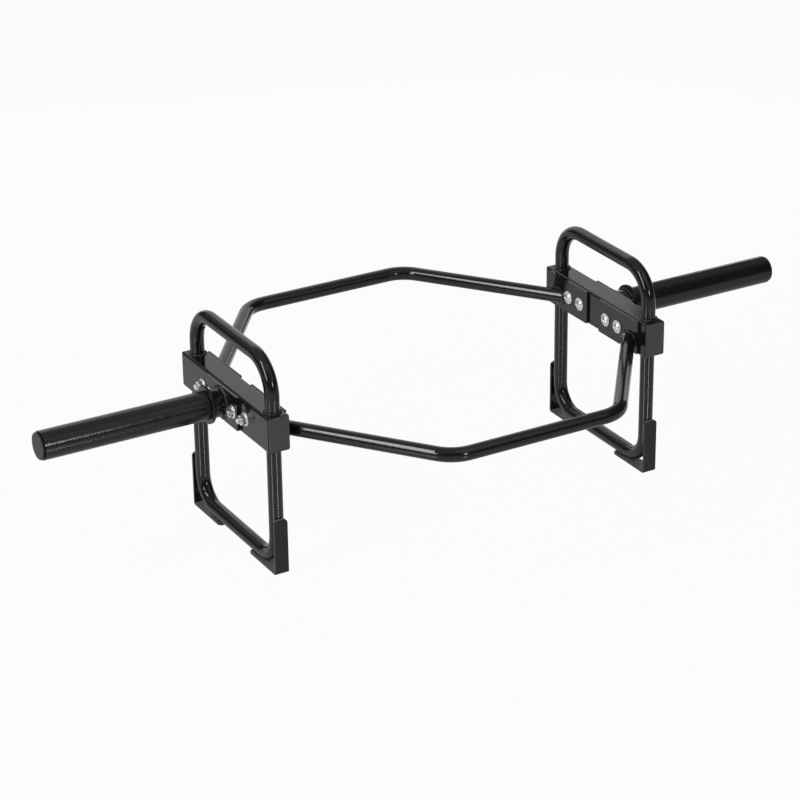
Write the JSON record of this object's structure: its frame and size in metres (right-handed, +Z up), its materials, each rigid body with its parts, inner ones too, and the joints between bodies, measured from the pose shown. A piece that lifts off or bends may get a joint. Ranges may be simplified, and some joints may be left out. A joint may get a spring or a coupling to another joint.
{
  "type": "hex trap bar",
  "caption": "Hexagonal steel lifting bar that a lifter stands in, with raised tube handles, bolted rails, stand frames with flat bar feet and a plate sleeve at each side.",
  "frame": {"origin": "on the floor, under the middle of the ring", "axes": "+X along the right sleeve, +Y to the rear, across the ring, +Z up"},
  "size_m": [1.458, 0.7526, 0.3905],
  "materials": {
    "black_powder_coat": "semi-gloss black powder coat with a fine orange peel",
    "zinc_plate": "bright zinc plate",
    "black_plastic": "moulded black polyethylene, satin"
  },
  "bodies": {
    "root": {"front_rail": "black_powder_coat", "rear_rail": "black_powder_coat", "left_cross_beam": "black_powder_coat", "left_raised_handle": "black_powder_coat", "left_stand_frame": "black_powder_coat", "left_sleeve_plate": "black_powder_coat", "left_sleeve_tube": "black_powder_coat", "left_stop_collar": "black_powder_coat", "left_sleeve_cap": "black_plastic", "left_bolts": "zinc_plate", "left_head_washers": "zinc_plate", "left_nut_washers": "zinc_plate", "left_nuts": "zinc_plate", "left_front_end_plate": "black_powder_coat", "left_rear_end_plate": "black_powder_coat", "left_front_foot": "black_powder_coat", "left_rear_foot": "black_powder_coat", "left_front_rail_plate": "black_powder_coat", "left_rear_rail_plate": "black_powder_coat", "right_cross_beam": "black_powder_coat", "right_raised_handle": "black_powder_coat", "right_stand_frame": "black_powder_coat", "right_sleeve_plate": "black_powder_coat", "right_sleeve_tube": "black_powder_coat", "right_stop_collar": "black_powder_coat", "right_sleeve_cap": "black_plastic", "right_bolts": "zinc_plate", "right_head_washers": "zinc_plate", "right_nut_washers": "zinc_plate", "right_nuts": "zinc_plate", "right_front_end_plate": "black_powder_coat", "right_rear_end_plate": "black_powder_coat", "right_front_foot": "black_powder_coat", "right_rear_foot": "black_powder_coat", "right_front_rail_plate": "black_powder_coat", "right_rear_rail_plate": "black_powder_coat"}
  },
  "joints": []
}
